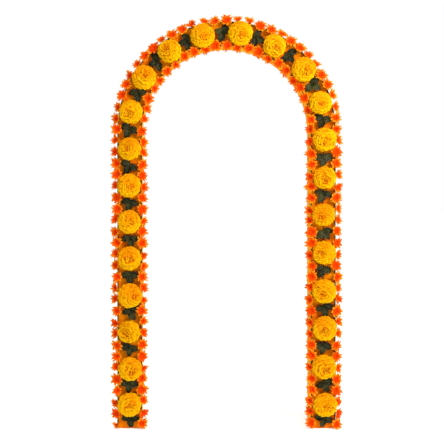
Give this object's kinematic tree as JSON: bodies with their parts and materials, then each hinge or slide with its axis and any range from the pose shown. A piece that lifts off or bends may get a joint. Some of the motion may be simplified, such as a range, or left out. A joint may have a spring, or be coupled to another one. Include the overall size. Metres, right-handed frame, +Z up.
{
  "type": "flower arch",
  "caption": "Free-standing doorway arch of box section, its front dressed with marigold pompon heads, rose-leaf sprigs and orange floret garlands along both edges.",
  "frame": {"origin": "on the floor, at the middle of the arch's box", "axes": "+Z up, -Y out of the flowered front, +X to the right for someone facing the front"},
  "size_m": [1.1858, 0.1695, 2.1161],
  "materials": {
    "board_orange": "matte",
    "side_orange": "matte",
    "block_wood": "matte",
    "garland_florets": "matte",
    "marigold_heads": "matte",
    "rose_leaves": "satin"
  },
  "bodies": {
    "root": {"front_board": "board_orange", "back_board": "board_orange", "outer_side_strip": "side_orange", "inner_side_strip": "side_orange", "foot_block_left": "block_wood", "foot_block_right": "block_wood", "crown_block": "block_wood", "garland_outer": "garland_florets", "garland_inner_left": "garland_florets", "garland_inner_crown": "garland_florets", "garland_inner_right": "garland_florets", "head_01": "marigold_heads", "head_02": "marigold_heads", "head_03": "marigold_heads", "head_04": "marigold_heads", "head_05": "marigold_heads", "head_06": "marigold_heads", "head_07": "marigold_heads", "head_08": "marigold_heads", "head_09": "marigold_heads", "head_10": "marigold_heads", "head_11": "marigold_heads", "head_12": "marigold_heads", "head_13": "marigold_heads", "head_14": "marigold_heads", "head_15": "marigold_heads", "head_16": "marigold_heads", "head_17": "marigold_heads", "head_18": "marigold_heads", "head_19": "marigold_heads", "head_20": "marigold_heads", "head_21": "marigold_heads", "head_22": "marigold_heads", "head_23": "marigold_heads", "head_24": "marigold_heads", "leaf_sprig_01": "rose_leaves", "leaf_sprig_02": "rose_leaves", "leaf_sprig_03": "rose_leaves", "leaf_sprig_04": "rose_leaves", "leaf_sprig_05": "rose_leaves", "leaf_sprig_06": "rose_leaves", "leaf_sprig_07": "rose_leaves", "leaf_sprig_08": "rose_leaves", "leaf_sprig_09": "rose_leaves", "leaf_sprig_10": "rose_leaves", "leaf_sprig_11": "rose_leaves", "leaf_sprig_12": "rose_leaves", "leaf_sprig_13": "rose_leaves", "leaf_sprig_14": "rose_leaves", "leaf_sprig_15": "rose_leaves", "leaf_sprig_16": "rose_leaves", "leaf_sprig_17": "rose_leaves", "leaf_sprig_18": "rose_leaves", "leaf_sprig_19": "rose_leaves", "leaf_sprig_20": "rose_leaves", "leaf_sprig_21": "rose_leaves", "leaf_sprig_22": "rose_leaves", "leaf_sprig_23": "rose_leaves", "leaf_sprig_24": "rose_leaves", "leaf_sprig_25": "rose_leaves"}
  },
  "joints": []
}
